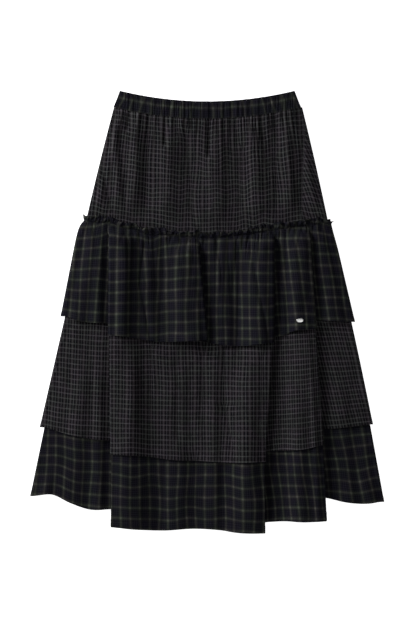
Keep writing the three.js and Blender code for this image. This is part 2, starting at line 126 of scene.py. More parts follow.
def foldShape(fold, y):  # a deep fold at each height: turn, return and turn
    cut = foldCut
    edge = np.interp(-y, [-level for level in foldLevels], fold["edges"])
    drop = hipSeamAt(edge) - y
    bend = math.pi * smooth(drop / cut["opens"])
    turn = mixed(cut["turnAtSeam"], math.pi * cut["radius"], bend / math.pi)
    back = cut["depthAtSeam"] + cut["depthPerLength"] * np.maximum(0, drop - cut["opens"])
    way = fold["onTop"] * bend
    steps = [(turn, 0 * bend, way), (back, way, way), (turn, way, 0 * bend)]
    moves = [bendStep(*step) for step in steps]
    width = sum(move[0] for move in moves)
    rise = np.abs(sum(move[1] for move in moves))
    safe = np.maximum(bend, leastBend)
    overhang = np.where(bend < leastBend, turn, turn / safe * np.sin(np.minimum(bend, math.pi / 2)))
    start = edge + overhang - width if fold["onTop"] > 0 else edge - overhang
    shut = bend / math.pi
    return {"onTop": fold["onTop"], "edge": edge, "steps": steps, "moves": moves, "rise": rise,
            "start": start, "end": start + width, "shut": shut, "cover": shut * (back + cut["cover"])}


def liftedBy(fold, distance):
    return fold["rise"] * (1 - smooth((distance - fold["cover"]) / foldCut["settles"]))


def pieceColumns(tier):  # what lies in each run of columns, from left to right
    runs = [("side", -1, foldCut["sideColumns"])]
    for i, panel in enumerate(tier["panels"]):
        runs.append(("panel", i, panel["columns"]))
        if i < len(tier["panels"]) - 1:
            runs += [("fold", (i, k), count) for k, count in enumerate(
                (foldCut["turnColumns"], foldCut["returnColumns"], foldCut["turnColumns"]))]
    return runs + [("side", 1, foldCut["sideColumns"])]


def eachRun(tier, column):  # each run, where it lies, the share along it and the column where it ends
    end = 0
    for kind, index, count in pieceColumns(tier):
        start, end = end, end + count
        here = (column >= start - tiny) & (column <= end + tiny)
        yield kind, index, here, np.clip((column - start) / count, 0, 1), end


def layRow(tier, column, y):  # where each column lies at each height
    folds = [foldShape(fold, y) for fold in tier["folds"]]
    layer = tier["layer"] * lay["layerStep"]
    reach = lay["sideTurn"] + layer
    left = -halfWidth(tier["outline"], -1, y) + lay["wall"] / 2 + reach
    right = halfWidth(tier["outline"], 1, y) - lay["wall"] / 2 - reach
    top = lay["frontLevel"] + layer
    names = ("x", "z", "angle", "shut", "window", "turned")
    place = {name: np.zeros_like(y + column * 0) for name in names}
    for kind, index, here, share, _ in eachRun(tier, column):
        if kind == "side":
            turn = (1 - share if index < 0 else share) * (math.pi / 2)
            base = left if index < 0 else right
            made = {"x": base + index * reach * np.sin(turn), "turned": 1.0, "shut": 0.0, "window": 0.0,
                    "z": tier["lowerEdge"] + (top - tier["lowerEdge"]) * np.cos(turn)}
        elif kind == "panel":
            before = folds[index - 1] if index else None
            after = folds[index] if index < len(folds) else None
            start, end = before["end"] if before else left, after["start"] if after else right
            low, high = before["edge"] if before else start, after["edge"] if after else end
            x = mixed(start, end, share)

            def level(at):
                z = lay["frontLevel"] + 0 * at
                if before and before["onTop"] > 0:
                    z = z + liftedBy(before, at - start)
                if after and after["onTop"] < 0:
                    z = z + liftedBy(after, end - at)
                return z

            near, far = (smooth(gap / lay["ridgeFade"] - lay["ridgeDelay"]) for gap in (x - low, high - x))
            made = {"x": x, "z": level(x), "angle": np.arctan(level(x + 0.5) - level(x - 0.5)),
                    "shut": 0.0, "window": near * far, "turned": 0.0}
        else:
            number, k = index
            fold = folds[number]
            x0, z0 = fold["start"], lay["frontLevel"] + (fold["rise"] if fold["onTop"] < 0 else 0)
            for move in fold["moves"][:k]:
                x0, z0 = x0 + move[0], z0 + move[1]
            length, start, end = fold["steps"][k]
            angle = mixed(start, end, share)
            dx, dz = bendStep(length * share, start, angle)
            made = {"x": x0 + dx, "z": z0 + dz, "angle": angle, "window": 0.0, "turned": 0.0,
                    "shut": mixed(foldCut["gathersHeld"], 1, fold["shut"])}
        for name, value in made.items():
            place[name] = np.where(here, value, place[name])
    return place


def hemLine(tier, column):  # height of the hem at each column
    hem, foldStart, panels = np.zeros_like(column), 0, tier["panels"]
    span = 2 * foldCut["turnColumns"] + foldCut["returnColumns"]
    for kind, index, here, share, end in eachRun(tier, column):
        if kind == "side":
            height = panels[0]["hem"][0] if index < 0 else panels[-1]["hem"][-1]
        elif kind == "panel":
            height, foldStart = through(panels[index]["hem"], share), end
        else:
            ends = panels[index[0]]["hem"][-1], panels[index[0] + 1]["hem"][0]
            height = mixed(*ends, smooth((column - foldStart) / span))
        hem = np.where(here, height, hem)
    return hem


# forms of the relief: the grid of the waves, ridges narrower at the top, creases that fade at both
# ends, and how far the check jumps at them
form = {
    "grid": 128, "gridStart": 60, "puffPower": 0.7, "ridgeAtTop": 0.8, "broad": (15, 150), "fine": (6.5, 60),
    "creaseEnds": 5, "creaseSharp": 1.4, "creaseDepth": 0.6,
    "jump": 5.0, "jumpDies": 0.8, "jumpWidth": 1.2, "jumpReach": 16,
}


def ridges(table, x, share, window):  # places at top and hem, half width, height
    height = np.zeros_like(x)
    for top, hem, width, tall in table:
        across = (x - mixed(top, hem, share)) / (width * mixed(form["ridgeAtTop"], 1, share))
        height += tall * np.where(np.abs(across) < 1, 0.5 + 0.5 * np.cos(math.pi * across), 0)
    return height * window


def lattice(across, down, pitch, run, seed):  # uneven soft waves from -1 to 1, drawn out down the cloth
    size, start = form["grid"], form["gridStart"]
    table = np.random.default_rng(seed).uniform(-1, 1, (size, size))
    a, d = across / pitch + start, down / run + start
    i, j = np.floor(a).astype(int), np.floor(d).astype(int)
    a, d = smooth(a - i), smooth(d - j)
    near, far = (mixed(table[i % size, k % size], table[(i + 1) % size, k % size], a) for k in (j, j + 1))
    return mixed(near, far, d)


def waved(table, x, y):  # such waves added up, each with its size, pitch, run and seed
    return sum(size * lattice(x, y, *wave) for size, *wave in table)


def puffs(across, down, pitch, run, seed):  # round ridges with sharp valleys between them, 0 to 1
    return np.abs(lattice(across, down, pitch, run, seed)) ** form["puffPower"]


def creaseAt(crease, x, y):  # distance from a crease and how strong it is here
    top, bottom, yTop, yBottom = crease[:4]
    share = (yTop - y) / (yTop - yBottom)
    ends = form["creaseEnds"]
    fade = smooth(share * ends + 0.5) * smooth((1 - share) * ends + 0.5)
    return x - mixed(top, bottom, share), fade


def creased(relief, table, x, y):  # narrow troughs cut into the waves
    for crease in table:
        away, fade = creaseAt(crease, x, y)
        width, depth = crease[4:]
        strength = depth * fade * np.exp(-(np.abs(away) / width) ** form["creaseSharp"])
        relief = relief * (1 - strength) - form["creaseDepth"] * strength
    return relief


def tucked(table, x, y):  # how far the cloth's pattern jumps where it dips into a crease
    jump = np.zeros_like(x)
    for crease in table:
        away, fade = creaseAt(crease, x, y)
        yTop, yBottom, _, depth = crease[2:]
        dying = np.clip((y - yBottom) / (yTop - yBottom), 0, 1) ** form["jumpDies"]
        jump += (depth * form["jump"] * fade * dying * np.tanh(away / form["jumpWidth"])
                 * np.exp(-np.abs(away) / form["jumpReach"]))
    return jump


def waves(x, y, seed):  # the soft unevenness of cloth at rest, 0 to 1
    broad = 0.5 + 0.5 * lattice(x, y, *form["broad"], seed)
    fine = 0.5 + 0.5 * lattice(x, y, *form["fine"], seed + 1)
    return 0.75 * broad + 0.25 * fine


def gathered(cut, x, fanned, y, drop):  # narrow puffs that fade down the cloth, unevenly
    reach = cut["length"] * (1 + cut["uneven"] * lattice(x, 0 * y, *cut["lengths"]))
    return cut["height"] * puffs(fanned, y, *cut["waves"]) * np.exp(-drop / reach)


# how the middle and the bottom tier hang; a crease has its places at the top and the bottom, their
# heights, its width and its depth
drape = {
    "starts": -62.0, "grows": 90.0, "runs": 330.0, "waves": 3.0,
    "wavesSeed": 5, "wavesStart": 20, "wavesGrow": 70,
    "ridges": [(-222, -250, 32, 4.5), (-197, -200, 17, 4.0), (-138, -142, 30, 4.0), (-60, -58, 38, 4.0),
               (8, 12, 22, 3.5), (66, 76, 30, 5.0), (160, 168, 24, 4.0), (190, 204, 12, 3.5),
               (232, 262, 24, 4.2)],
    "creases": [(-6, -8, -70, -215, 11, 0.9), (32, 32, -60, -180, 4, 0.9), (32, 50, -170, -262, 4, 0.9),
                (-101, -104, -60, -260, 6, 0.6), (-55, -54, -60, -230, 5, 0.5), (100, 96, -70, -300, 8, 0.6),
                (-22, -24, -260, -400, 11, 0.7), (30, 34, -280, -400, 6, 0.5),
                (-78, -82, -270, -400, 7, 0.5)],
}


def drapeAt(x, y, window):  # what the middle and the bottom tier share, so that they nest
    below = drape["starts"] - y
    broad = ridges(drape["ridges"], x, np.clip(below / drape["runs"], 0, 1), 1)
    relief = broad * smooth(below / drape["grows"])
    grown = smooth((drape["wavesStart"] - y) / drape["wavesGrow"])
    relief = relief + drape["waves"] * waves(x, y, drape["wavesSeed"]) * grown
    return creased(relief, drape["creases"], x, y) * window


def settled(rule, start):
    value = start
    for _ in range(lay["seamRounds"]):
        value = rule(value)
    return value


def acrossCloth(tier, column, y, place):
    folds = [foldShape(fold, y) for fold in tier["folds"]]
    top = tier["outline"]["top"]
    swing = [halfWidth(tier["outline"], side, y) - halfWidth(tier["outline"], side, top) for side in (-1, 1)]
    u = place["x"]

    def cloth(panel, share, x):  # outer panels lean with the outline, and gathers crowd the lines
        lean = mixed(*tier["lean"][panel], share)
        leant = np.where(lean < 0, swing[0] * lean, swing[1] * lean)
        return tier["crowd"][panel] * x + tier["phase"][panel] - leant

    for kind, index, here, share, _ in eachRun(tier, column):
        if kind == "side":
            arc = lay["sideCloth"] * (math.pi / 2) * (share if index > 0 else share - 1)
            edge = index * (halfWidth(tier["outline"], index, y) - lay["sideCloth"])
            way = arc + (cloth(0, 0, edge) if index < 0 else cloth(len(tier["panels"]) - 1, 1, edge))
        elif kind == "panel":
            way = cloth(index, share, place["x"])
        else:
            number, k = index
            fold = folds[number]
            before, after = cloth(number, 1, fold["start"]), cloth(number + 1, 0, fold["end"])
            turn = fold["steps"][0][0]
            way = (before + turn * share, mixed(before + turn, after - turn, share),
                   after - turn * (1 - share))[k]
        u = np.where(here, way, u)
    return u


def downCloth(tier, column, y, share, hem, x):  # rows of the check lie level, or tilted panel by panel
    level, tilt, panels = np.zeros_like(y), np.zeros_like(y), tier["panels"]
    folds = [foldShape(fold, y) for fold in tier["folds"]]
    for kind, index, here, _, _ in eachRun(tier, column):
        if kind == "fold":
            panel = index[0] + index[1] // 2
        else:
            panel = index if kind == "panel" else (0 if index < 0 else len(panels) - 1)
        inner = folds[max(0, panel - 1)]["edge"]
        level = np.where(here, np.mean(panels[panel]["hem"]), level)
        tilted = mixed(*tier["tilt"][panel], share) * (x - inner)
        tilt = np.where(here, tilted + tier["rowPhase"][panel], tilt)
    followed = tier["follows"] * share ** 2 * (hem - level)
    return tier["outline"]["top"] - y + tilt + followed


# a turned hem is thicker, and a free hem lifts; how the check wanders over a front tier
hemCut = {"thicker": 0.55, "edge": 0.6, "fade": 1.2, "stitchIn": 2, "stitchWall": 0.5, "lifts": (0.84, 0.16)}
wander = {"across": (30, 70), "down": (34, 60)}

# the frill above the gathered seam and the check there; waves are size, pitch, run and seed, the
# corner is drawn in, and the steps are where the seam lies higher or lower: place, width, height
frill = {
    "pull": [(6.0, 13, 50, 25)], "finePull": [(2.0, 5, 40, 26)], "pullReach": 42,
    "check": [(6.0, 4, 9, 27)], "checkGrows": 4,
    "side": [(4.2, 6.0, 14, 31), (2.0, 2.6, 20, 32)], "up": [(4.6, 5.0, 30, 33), (1.6, 2.4, 30, 35)],
    "sunk": 1.0, "out": 6.5, "outPower": 0.7, "outWaves": (3.6, 16, 34),
    "corner": (203, 16), "cornerSide": 5, "cornerDown": 7, "stepsFade": 60,
    "steps": [(-178, 15, 5.5), (-104, 15, -6.5), (-70, 20, -1.5), (118, 24, 1.5), (230, 26, -7)],
}


def layTier(tier):  # points of a front tier, its cloth coordinates, and where each lies down the cloth
    columns = sum(run[2] for run in pieceColumns(tier))
    column = np.linspace(0, columns, columns * lay["columnSteps"] + 1)[None, :]
    top = np.full_like(column, tier["outline"]["top"])
    seam = settled(lambda y: tier["seam"](layRow(tier, column, y)["x"]), top)
    hem = hemLine(tier, column)
    near, heading, seed = tier["near"], tier.get("heading", 0.0), tier["seed"]
    few, many = (max(4, int(tier[rows] * lay["rowSteps"])) for rows in ("rowsNear", "rowsFar"))
    drops, shares = np.linspace(-heading, near, few), np.linspace(0, 1, many)[1:]
    y = np.concatenate([seam - d for d in drops] + [mixed(seam - near, hem, s) for s in shares])
    column = np.repeat(column, len(y), axis=0)
    place = layRow(tier, column, y)
    drop = seam - y
    share = drop / (seam - hem)
    rise = tier["layer"] * lay["layerStep"] + tier["relief"](place, column, y, drop)
    start, over = hemCut["lifts"]
    rise = rise + tier["hemLift"] * smooth((share - start) / over) * place["window"]
    rise = np.where(place["turned"] > 0, 0, rise)
    x = place["x"] - np.sin(place["angle"]) * rise
    z = place["z"] + np.cos(place["angle"]) * rise
    points = np.stack([x, y, z], axis=-1)
    u = acrossCloth(tier, column, y, place) + tier["wander"] * lattice(x, y, *wander["across"], seed)
    u = u + tucked(tier["creases"], x, y) * place["window"]
    if heading:
        pulled = waved(frill["pull"], x, 0 * y) + waved(frill["finePull"], x, y)
        u = u + pulled * np.exp(-np.abs(drop) / frill["pullReach"]) * (1 - place["turned"])
        u = u + waved(frill["check"], x, y) * smooth(-drop / frill["checkGrows"])
        points = crinkled(points, drop, heading)
    v = downCloth(tier, column, y, share, hem, place["x"])
    v = v + tier["wavy"] * lattice(x, y, *wander["down"], seed + 1)
    return points, u, v, drop, share, y - hem


def crinkled(points, drop, height):
    x, y, z = points[..., 0], points[..., 1], points[..., 2]
    free = np.clip(-drop / height, 0, 1)
    steps = sum(tall * np.exp(-((x - at) / width) ** 2) for at, width, tall in frill["steps"])
    lift = steps * (1 - smooth(drop / frill["stepsFade"]))
    start, over = frill["corner"]
    drawn = free * smooth((x - start) / over)
    side = free * waved(frill["side"], x, y) + frill["cornerSide"] * drawn
    up = -frill["cornerDown"] * drawn + free * (waved(frill["up"], x, y) - frill["sunk"])
    out = free ** frill["outPower"] * frill["out"] * puffs(x, y, *frill["outWaves"])
    return np.stack([x + side, y + up + lift, z + out], axis=-1)


def outward(points):
    across, down = np.gradient(points, axis=1), np.gradient(points, axis=0)
    out = np.cross(down, across)
    return out / np.maximum(np.linalg.norm(out, axis=-1, keepdims=True), tiny)


def added(name, data):
    made = bpy.data.objects.new(name, data)
    bpy.context.scene.collection.objects.link(made)
    return made


def shell(name, points, u, v, wall, material):  # closed wall of cloth about a grid of points
    rows, cols = points.shape[:2]
    out = outward(points)
    half = (np.zeros((rows, cols)) + wall)[..., None] / 2
    sides = (points + out * half, points - out * half)
    vertices = np.concatenate([side.reshape(-1, 3) for side in sides]) * mm
    vertices[:, 2] = np.maximum(vertices[:, 2], 0)
    index = np.arange(rows * cols).reshape(rows, cols)
    a, b, d, e = index[:-1, :-1], index[:-1, 1:], index[1:, :-1], index[1:, 1:]
    under = rows * cols
    front = np.stack([a, d, e, b], axis=-1).reshape(-1, 4)
    back = np.stack([a, b, e, d], axis=-1).reshape(-1, 4) + under
    faces = [front, back]
    for first, second in ((index[0, 1:], index[0, :-1]), (index[-1, :-1], index[-1, 1:]),
                          (index[:-1, 0], index[1:, 0]), (index[1:, -1], index[:-1, -1])):
        faces.append(np.stack([second, first, first + under, second + under], axis=-1))
    mesh = bpy.data.meshes.new(name)
    mesh.from_pydata(vertices.tolist(), [], np.concatenate(faces).tolist())
    uvs = np.tile(np.stack([u.ravel(), v.ravel()], axis=-1), (2, 1)) * mm
    layer = mesh.uv_layers.new(name="clothMap")
    loops = np.zeros(len(mesh.loops), dtype=int)
    mesh.loops.foreach_get("vertex_index", loops)
    layer.data.foreach_set("uv", uvs[loops].ravel())
    mesh.validate()
    mesh.shade_smooth()
    mesh.set_sharp_from_angle(angle=math.radians(55))
    mesh.materials.append(material)
    return added(name, mesh)


# stitches along the hems, the gathered seam and the waistband
stitchSizes = {"Pitch": 3.0, "Length": 2.2, "Thickness": 0.34}
stitchForm = {"lift": 0.05, "lengths": (0.88, 1.08), "seed": 7, "segments": 6, "rings": 4}
seamPaths = []


def stitchAlong(points, wall, rank, target):  # a path on the outer face where rank reaches target
    over = (np.zeros(points.shape[:2]) + wall) / 2 + stitchForm["lift"]
    face = points + outward(points) * over[..., None]
    rows = np.arange(len(points))
    place = np.array([np.interp(target, rank[:, c], rows) for c in range(points.shape[1])])
    k = np.minimum(len(points) - 2, place.astype(int))
    at = np.arange(points.shape[1])
    path = mixed(face[k, at], face[k + 1, at], (place - k)[:, None])
    side = foldCut["sideColumns"] * lay["columnSteps"]
    seamPaths.append(path[side:-side])


def dress(piece, node, slot, flat, held, restsOn):  # ride and replace a cloth
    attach(piece, "root")
    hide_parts(node)
    print("made", piece.name, len(piece.data.polygons), "faces")


def makeTier(name, tier, material, *worn):  # a front tier with its stitches; its points are given back
    points, u, v, drop, share, aboveHem = layTier(tier)
    depth, fromHem = tier["hemDepth"], (1 - share) * tier["length"]
    wall = lay["wall"] + hemCut["thicker"] * smooth((depth + hemCut["edge"] - fromHem) / hemCut["fade"])
    piece = shell(name, points, u, v, wall, material)
    if "seamStitch" in tier:
        stitchAlong(points, lay["wall"], drop, tier["seamStitch"])
    stitchAlong(points, lay["wall"] + hemCut["stitchWall"], -aboveHem, hemCut["stitchIn"] - depth)
    dress(piece, *worn)
    return points


# shader sums: a wire wraps a socket and takes the usual signs
class Wire:
    def __init__(self, finish, socket):
        self.finish, self.socket = finish, socket

    def maths(self, operation, *others):
        return self.finish.node("ShaderNodeMath", {"operation": operation}, [self, *others])

    def __add__(self, other):
        return self.maths("ADD", other)

    def __sub__(self, other):
        return self.maths("SUBTRACT", other)

    def __mul__(self, other):
        return self.maths("MULTIPLY", other)

    def __truediv__(self, other):
        return self.maths("DIVIDE", other)


class Nodes:
    def __init__(self, tree):
        self.tree = tree

    def node(self, kind, settings=None, inputs=(), out=0):
        made = self.tree.nodes.new(kind)
        for key, value in (settings or {}).items():
            setattr(made, key, value)
        for key, value in inputs.items() if isinstance(inputs, dict) else enumerate(inputs):
            if isinstance(value, Wire):
                self.tree.links.new(value.socket, made.inputs[key])
            else:
                made.inputs[key].default_value = value
        return Wire(self, made.outputs[out])


class Finish(Nodes):
    def __init__(self, name, **fixed):  # fixed values go on the shader's own sockets
        self.material = bpy.data.materials.new(name)
        self.material.use_nodes = True
        super().__init__(self.material.node_tree)
        self.shader = self.tree.nodes["Principled BSDF"]
        for socket, value in fixed.items():
            self.shader.inputs[socket.replace("_", " ")].default_value = value

    def feed(self, **wires):
        for socket, wire in wires.items():
            self.tree.links.new(wire.socket, self.shader.inputs[socket.replace("_", " ")])

    def between(self, factor, first, second):
        return self.node("ShaderNodeMix", {"data_type": "RGBA"}, {0: factor, 6: first, 7: second}, out=2)

    def times(self, colour, other):
        return self.node("ShaderNodeVectorMath", {"operation": "MULTIPLY"}, [colour, other])

    def joined(self, parts):
        return self.node("ShaderNodeCombineXYZ", None, parts)

    def ramped(self, value, low, high, start=0.0, end=1.0):
        soft = {"interpolation_type": "SMOOTHSTEP"}
        return self.node("ShaderNodeMapRange", soft, [value, low, high, start, end])

    def noise(self, vector, scale, detail=2.0):
        return self.node("ShaderNodeTexNoise", {"noise_dimensions": "3D"},
                         {"Vector": vector, "Scale": scale, "Detail": detail})

    def stripe(self, along, pitch, width, soft, shift=0.0):  # 1 on a line, 0 between
        place = (along / pitch + shift).maths("FRACT")
        distance = (place - 0.5).maths("ABSOLUTE") * pitch
        return self.ramped(distance, width / 2 - soft, width / 2 + soft, 1.0, 0.0)

    def uneven(self, ways, size):  # yarns aren't alike: from weaker to full
        noise = self.noise(self.joined([way / size for way in ways]), yarns["noise"])
        return self.ramped(noise, *yarns["range"], yarns["weakest"], 1.0)


# what both cloths share
yarns = {"noise": 0.55, "range": (0.32, 0.62), "weakest": 0.62}
clothLook = {
    "evenness": 0.2, "crossover": 0.6, "roughness": 0.9, "smoother": 0.06, "rougher": 0.05, "gloss": 0.04,
    "sheen": 0.005, "sheenRoughness": 0.5, "slubDetail": 3.0, "cloud": 0.08, "cloudScale": 18.0,
    "hueScale": 34.0, "warm": (1.05, 0.975, 1.045, 1), "cool": (0.955, 1.035, 0.945, 1),
    "overRelief": 0.5, "slubRelief": 0.8, "bump": {"Strength": 0.35, "Distance": 0.00025},
}


def wovenFinish(name, own, colours):  # plain weave over the yarns' colours
    look = {**clothLook, **own}
    finish = Finish(name, Roughness=look["roughness"], Specular_IOR_Level=look["gloss"],
                    Sheen_Weight=look["sheen"], Sheen_Roughness=look["sheenRoughness"])
    uv = finish.node("ShaderNodeUVMap", {"uv_map": "clothMap"})
    across = finish.node("ShaderNodeSeparateXYZ", None, [uv])
    down = Wire(finish, across.socket.node.outputs[1])
    warpColour, weftColour = colours(finish, across, down)
    pitch = look["thread"] * mm
    over = (across / pitch * math.pi).maths("SINE") * (down / pitch * math.pi).maths("SINE")
    even, cross = look["evenness"], look["crossover"]
    cloth = finish.between(finish.ramped(over, -cross, cross, even, 1 - even), warpColour, weftColour)
    slub = finish.noise(uv, look["slubScale"], look["slubDetail"])
    cloud = finish.noise(uv, look["cloudScale"])
    shade = finish.ramped(slub, 0.25, 0.75, 1 - look["slub"], 1 + look["slub"])
    shade = shade * finish.ramped(cloud, 0.3, 0.7, 1 - look["cloud"], 1 + look["cloud"])
    hue = finish.ramped(finish.noise(uv, look["hueScale"]), 0.35, 0.65)
    cloth = finish.times(cloth, finish.between(hue, look["warm"], look["cool"]))
    relief = over * look["overRelief"] + slub * look["slubRelief"]
    rough = look["roughness"] - look["smoother"], look["roughness"] + look["rougher"]
    finish.feed(Base_Color=finish.times(cloth, finish.joined([shade] * 3)),
                Normal=finish.node("ShaderNodeBump", None, {**look["bump"], "Height": relief}),
                Roughness=finish.ramped(slub, 0.2, 0.8, *rough))
    return finish.material


# large windowpane check: navy black with olive grey lines
largeCheckLook = {
    "pitch": 19.8, "line": 3.8, "soft": 1.8, "beside": 10.5, "besideSoft": 2, "fine": 3.96, "fineLine": 1.2,
    "fineSoft": 0.6, "fineDepth": 0.9, "thread": 0.46, "slub": 0.16, "slubScale": 900.0,
    "ground": (0.0050, 0.0047, 0.0092, 1), "border": (0.0066, 0.0068, 0.0070, 1),
    "yarn": (0.050, 0.0515, 0.0435, 1), "crossing": (0.072, 0.076, 0.064, 1),
    "faint": (0.0180, 0.0178, 0.0235, 1),
}


def largeCheckColours(finish, across, down):
    look = largeCheckLook
    size, ways = look["pitch"] * mm, (across, down)
    lines = [finish.stripe(way, size, look["line"] * mm, look["soft"] * mm) for way in ways]
    made = []
    for along, line, other in zip(ways, lines, reversed(lines)):
        fine = finish.stripe(along, look["fine"] * mm, look["fineLine"] * mm, look["fineSoft"] * mm)
        beside = finish.stripe(along, size, look["beside"] * mm, look["besideSoft"] * mm)
        ground = finish.between(beside, look["ground"], look["border"])
        ground = finish.between(fine * look["fineDepth"], ground, look["faint"])
        yarn = finish.between(other, look["yarn"], look["crossing"])
        made.append(finish.between(line * finish.uneven(ways, size), ground, yarn))
    return made


# small check: black with fine grey lines, and brown in every other space
smallCheckLook = {
    "ways": ((5.6, 1.0), (9.0, 0.2)), "line": 1.9, "soft": 0.6, "brownSoft": 0.6, "brownShift": 0.25,
    "thread": 0.42, "slub": 0.18, "slubScale": 1000.0,
    "ground": (0.0018, 0.0019, 0.0034, 1), "grey": (0.0745, 0.0725, 0.0778, 1),
    "brown": (0.027, 0.0225, 0.0245, 1),
}


def smallCheckColours(finish, across, down):
    look = smallCheckLook
    made = []
    for along, (pitch, depth) in zip((across, down), look["ways"]):  # the brown shows more across
        line = finish.stripe(along, pitch * mm, look["line"] * mm, look["soft"] * mm)
        other = finish.stripe(along, 2 * pitch * mm, pitch * mm, look["brownSoft"] * mm,
                              shift=look["brownShift"])
        ground = finish.between(other * depth, look["ground"], look["brown"])
        made.append(finish.between(line * finish.uneven((across, down), pitch * mm), ground, look["grey"]))
    return made


largeCheck = wovenFinish("largeCheckCloth", largeCheckLook, largeCheckColours)
smallCheck = wovenFinish("smallCheckCloth", smallCheckLook, smallCheckColours)


def threadFinish():
    finish = Finish("darkThread", Roughness=0.7, Specular_IOR_Level=0.3)
    coordinates = finish.node("ShaderNodeTexCoord", None, {}, out=3)
    twist = finish.noise(coordinates, 2500.0)
    dark, light = (0.006, 0.006, 0.008, 1), (0.02, 0.02, 0.024, 1)
    finish.feed(Base_Color=finish.between(finish.ramped(twist, 0.3, 0.7), dark, light))
    return finish.material


def plateFinish():
    finish = Finish("brushedPlate", Metallic=1.0, Roughness=0.25)
    coordinates = finish.node("ShaderNodeTexCoord", None, {}, out=3)
    stretched = finish.node("ShaderNodeMapping", None, {"Vector": coordinates, "Scale": (40, 900, 900)})
    grain = finish.noise(stretched, 6.0, 4.0)
    dark, light = (0.80, 0.80, 0.79, 1), (0.92, 0.92, 0.90, 1)
    finish.feed(Base_Color=finish.between(finish.ramped(grain, 0.3, 0.7), dark, light))
    finish.feed(Roughness=finish.ramped(grain, 0.3, 0.7, 0.2, 0.34))
    return finish.material


thread = threadFinish()
plateMetal = plateFinish()
print("finishes ready")


# the ruffle over the hips, with its crinkled heading
ruffle = {
    "layer": 1, "lowerEdge": 0.2, "seam": hipSeamAt, "folds": deepFolds, "seamStitch": 0.5, "hemDepth": 10,
    "near": 40.0, "rowsNear": 36, "rowsFar": 44, "heading": 12.0, "length": 196.0, "seed": 11,
    "lean": [(-0.6, -0.3), (0, 0), (0, 0), (0.35, 0.5), (0.65, 0.9)],
    "phase": [9.5, 8.6, -12.9, -6.3, 9.8], "rowPhase": [1.8, -2.7, -7, -1.9, -10.7],
    "tilt": [(0.09, -0.05), (0.05, 0.05), (0, 0), (-0.05, -0.03), (-0.02, -0.02)],
    "follows": 0.25, "crowd": [1.36, 1.07, 1.28, 1.31, 1.4], "hemLift": 1.6, "wander": 2.2, "wavy": 2.0,
    "outline": {"top": 166, "hem": -14, "left": (224, 259, 0, 9), "right": (226, 268, 0, 0)},
    "panels": [
        {"columns": 10, "hem": [-8, -17.5, -20, -21]},
        {"columns": 26, "hem": [-41.7, -48, -54.3, -54, -51.2]},
        {"columns": 25, "hem": [-53.3, -60, -61.7, -55.8]},
        {"columns": 12, "hem": [-47, -43.5, -33.5, -31.3]},
        {"columns": 8, "hem": [-14.8, -16.5, -18.1]},
    ],
    "ridges": [(-206, -232, 22, 4), (-192, -204, 18, 5), (-150, -156, 18, 5.5), (-108, -104, 22, 4.5),
               (-50, -42, 34, 5.5), (24, 32, 24, 5), (80, 90, 30, 5.5), (160, 163, 18, 5),
               (206, 232, 22, 4)],
    "creases": [(-114, -123, 138, 44, 4, 0.9), (-121, -104, 44, -45, 5, 0.5), (-78, -80, 140, 60, 6, 0.85),
                (-82, -86, 60, -55, 8, 0.7), (57, 57, 140, -55, 5, 0.8), (76, 112, 140, -50, 4, 0.45),
                (128, 130, 145, -50, 5, 0.85), (142, 146, 145, -45, 4, 0.8), (-24, -28, 136, 60, 5, 0.6)],
    "gathers": {"height": 5.5, "length": 46.0, "uneven": 0.7, "lengths": (12, 50, 21),
                "waves": (5.4, 55, 22)},
    "atSides": 0.35, "from": (-192, 16), "to": (214, 14), "seamDip": 0.8, "seamWidth": 2.4,
    "ridgesRun": 190, "ridgesGrow": 80, "waves": 3.6, "wavesSeed": 23, "wavesGrow": 30,
}


def ruffleRelief(place, column, y, drop):
    x = place["x"]
    (left, leftFade), (right, rightFade) = ruffle["from"], ruffle["to"]
    narrow = gathered(ruffle["gathers"], x, x, y, np.abs(drop))
    middle = smooth((x - left) / leftFade) * smooth((right - x) / rightFade)
    narrow = narrow * mixed(ruffle["atSides"], 1, middle)
    dip = ruffle["seamDip"] * np.exp(-(drop / ruffle["seamWidth"]) ** 2)
    narrow = narrow * (1 - place["shut"]) * (1 - dip)
    share = np.clip(drop / ruffle["ridgesRun"], 0, 1)
    broad = ridges(ruffle["ridges"], x, share, smooth(drop / ruffle["ridgesGrow"]))
    broad = broad + ruffle["waves"] * waves(x, y, ruffle["wavesSeed"]) * smooth(drop / ruffle["wavesGrow"])
    return narrow + creased(broad, ruffle["creases"], x, y) * place["window"]


ruffle["relief"] = ruffleRelief
rufflePoints = makeTier("ruffleFront", ruffle, largeCheck,
                        "ruffle_front", "large_check", (0.86, 0.208), "gathered", ["middle_front"])

# the middle tier, which starts behind the ruffle
middle = {
    "layer": 0, "lowerEdge": 1.3, "seam": hipSeamAt, "creases": drape["creases"], "hemDepth": 10,
    "folds": [fold for fold in deepFolds if fold["name"] != "ruffle"],
    "near": 150.0, "rowsNear": 20, "rowsFar": 70, "length": 396.0, "seed": 13,
    "lean": [(-0.35, -0.03), (0, 0), (0.1, 0.3), (1.1, 1.4)],
    "phase": [2, 4, 1, 3], "rowPhase": [2, 2, 2, 2],
    "tilt": [(-0.05, -0.02), (0, 0), (0.03, 0.05), (-0.2, 0.05)],
    "follows": 0.5, "crowd": [1.2, 1, 1.43, 1.26], "hemLift": 1.6, "wander": 1.4, "wavy": 1.8,
    "outline": {"top": 166, "hem": -207, "left": (219, 304, 0, 0), "right": (220, 302, 2, 0)},
    "panels": [
        {"columns": 10, "hem": [-209.7, -223, -232, -233.3]},
        {"columns": 28, "hem": [-258.6, -262, -269, -271, -274.3, -271.8]},
        {"columns": 12, "hem": [-259.7, -253, -251.5, -249, -241.5]},
        {"columns": 8, "hem": [-212.5, -212.5, -209, -204.6]},
    ],
    "relief": lambda place, column, y, drop: drapeAt(place["x"], y, place["window"]),
}
